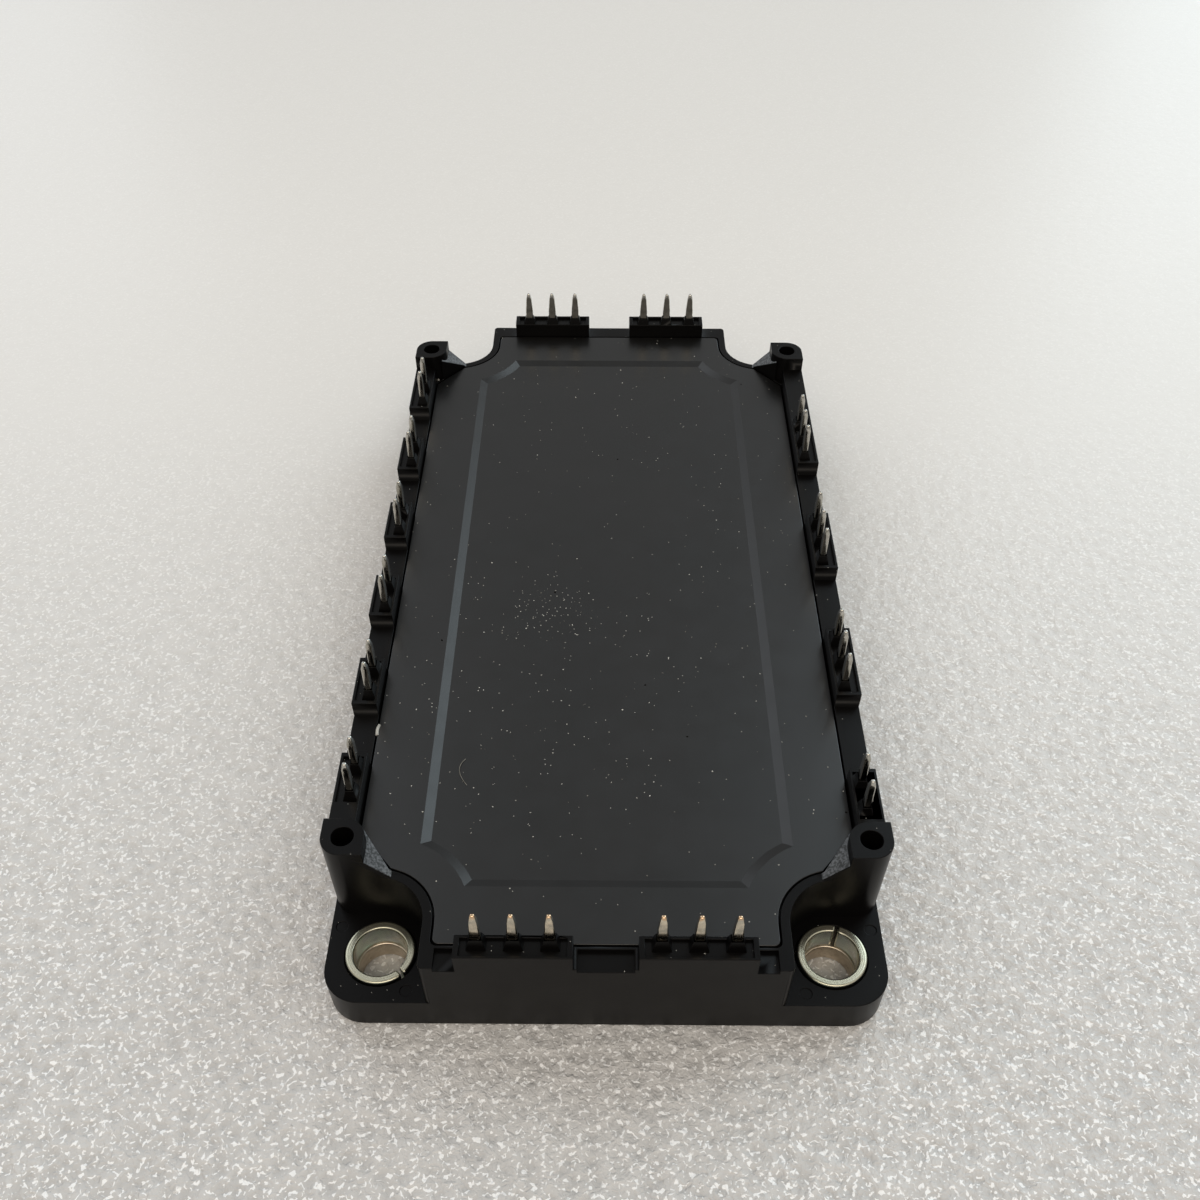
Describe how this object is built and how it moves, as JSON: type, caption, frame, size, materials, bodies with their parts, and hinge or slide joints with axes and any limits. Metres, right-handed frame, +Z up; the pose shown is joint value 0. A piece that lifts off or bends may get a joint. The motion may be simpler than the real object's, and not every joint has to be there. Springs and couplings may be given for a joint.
{
  "type": "igbt module",
  "caption": "Flat rectangular power module: black moulded case on a metal base plate, recessed lid, solder pins along every edge, corner screw lugs and board posts.",
  "frame": {"origin": "centre of the base plate's underside", "axes": "+X across the module from the gate pins to the phase pins, +Y along its length, +Z up towards the circuit board"},
  "size_m": [0.062, 0.122, 0.0202],
  "materials": {
    "base_plate": "nickel-plated copper, satin, slightly warm",
    "housing": "black glass-filled moulding, satin",
    "lid": "black glass-filled moulding, fine matte texture",
    "sleeve": "rolled steel bush with a pale passivated zinc coating",
    "pins": "tinned copper alloy, bright",
    "ceramic": "white alumina, matte",
    "copper": "bare copper",
    "chips": "silicon with an aluminium top metal",
    "thermistor": "brown ceramic chip",
    "wires": "drawn aluminium wire",
    "gel": "clear silicone gel"
  },
  "bodies": {
    "root": {"base_plate": "base_plate", "housing_frame": "housing", "lid": "lid", "sleeve_front_left": "sleeve", "sleeve_front_right": "sleeve", "sleeve_back_left": "sleeve", "sleeve_back_right": "sleeve", "gate_pin_1": "pins", "gate_pin_2": "pins", "gate_pin_3": "pins", "gate_pin_4": "pins", "gate_pin_5": "pins", "gate_pin_6": "pins", "emitter_pin_1": "pins", "emitter_pin_2": "pins", "emitter_pin_3": "pins", "emitter_pin_4": "pins", "emitter_pin_5": "pins", "emitter_pin_6": "pins", "phase_u_pin_1": "pins", "phase_u_pin_2": "pins", "phase_u_pin_3": "pins", "phase_v_pin_1": "pins", "phase_v_pin_2": "pins", "phase_v_pin_3": "pins", "phase_w_pin_1": "pins", "phase_w_pin_2": "pins", "phase_w_pin_3": "pins", "thermistor_pin_1": "pins", "thermistor_pin_2": "pins", "dc_plus_front_pin_1": "pins", "dc_plus_front_pin_2": "pins", "dc_plus_front_pin_3": "pins", "dc_minus_front_pin_1": "pins", "dc_minus_front_pin_2": "pins", "dc_minus_front_pin_3": "pins", "dc_plus_back_pin_1": "pins", "dc_plus_back_pin_2": "pins", "dc_plus_back_pin_3": "pins", "dc_minus_back_pin_1": "pins", "dc_minus_back_pin_2": "pins", "dc_minus_back_pin_3": "pins", "ceramic_u": "ceramic", "ceramic_v": "ceramic", "ceramic_w": "ceramic", "copper_tracks_u": "copper", "copper_tracks_v": "copper", "copper_tracks_w": "copper", "copper_backing_u": "copper", "copper_backing_v": "copper", "copper_backing_w": "copper", "igbt_chips_u": "chips", "igbt_chips_v": "chips", "igbt_chips_w": "chips", "diode_chips_u": "chips", "diode_chips_v": "chips", "diode_chips_w": "chips", "thermistor": "thermistor", "bond_wires": "wires", "silicone_gel": "gel"}
  },
  "joints": []
}
